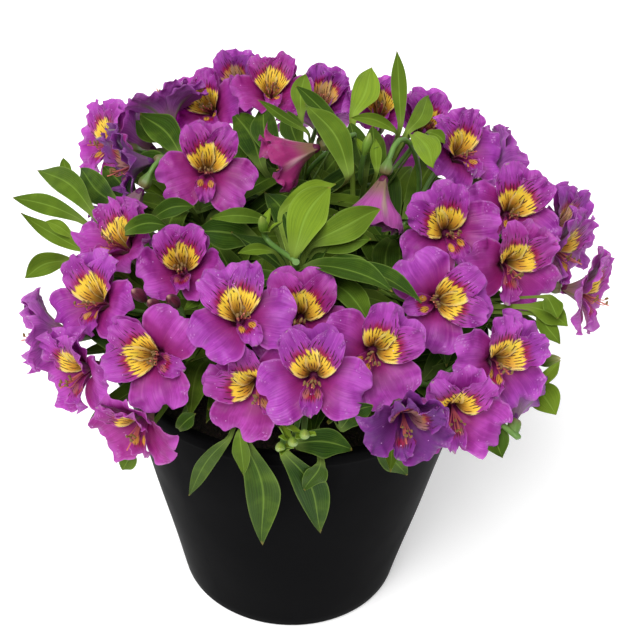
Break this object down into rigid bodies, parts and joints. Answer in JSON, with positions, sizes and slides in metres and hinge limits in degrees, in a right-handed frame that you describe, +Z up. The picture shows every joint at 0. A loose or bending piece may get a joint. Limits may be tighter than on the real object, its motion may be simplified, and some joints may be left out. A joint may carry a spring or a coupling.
{
  "type": "potted peruvian lily",
  "caption": "Dome-shaped peruvian lily (alstroemeria) with magenta funnel blooms blotched yellow, over narrow green leaves, in a plain black tapered nursery pot",
  "frame": {"origin": "middle of the flat underside of the pot", "axes": "+Z up; -Y towards the front, the side the picture shows; +X to the right as seen from the front"},
  "size_m": [0.317, 0.303, 0.2973],
  "materials": {
    "pot": "black moulded plastic, satin",
    "soil": "moist dark potting compost, rough",
    "petal": "thin magenta petal with a soft sheen",
    "leaf": "green leaf and stem, slightly glossy"
  },
  "bodies": {
    "root": {"pot": "pot", "bloom_01": "petal", "bloom_02": "petal", "bloom_03": "petal", "bloom_04": "petal", "bloom_05": "petal", "bloom_06": "petal", "bloom_07": "petal", "bloom_08": "petal", "bloom_09": "petal", "bloom_10": "petal", "bloom_11": "petal", "bloom_12": "petal", "bloom_13": "petal", "bloom_14": "petal", "bloom_15": "petal", "bloom_16": "petal", "bloom_17": "petal", "bloom_18": "petal", "bloom_19": "petal", "bloom_20": "petal", "bloom_21": "petal", "bloom_22": "petal", "bloom_23": "petal", "bloom_24": "petal", "bloom_25": "petal", "bloom_26": "petal", "bloom_27": "petal", "bloom_28": "petal", "bloom_29": "petal", "bloom_30": "petal", "bloom_31": "petal", "bloom_32": "petal", "bloom_33": "petal", "bloom_34": "petal", "bloom_35": "petal", "bloom_36": "petal", "bloom_37": "petal", "bloom_38": "petal", "bloom_39": "petal", "bloom_40": "petal", "bloom_41": "petal", "bloom_42": "petal", "bloom_43": "petal", "bloom_44": "petal", "bloom_45": "petal", "soil": "soil", "stem_front": "leaf", "stem_front_left": "leaf", "stem_left_low": "leaf", "stem_left": "leaf", "stem_left_high": "leaf", "stem_back_left": "leaf", "stem_back": "leaf", "stem_crown": "leaf", "stem_back_right": "leaf", "stem_right": "leaf", "stem_right_low": "leaf", "stem_front_right": "leaf", "stem_heart": "leaf"}
  },
  "joints": []
}
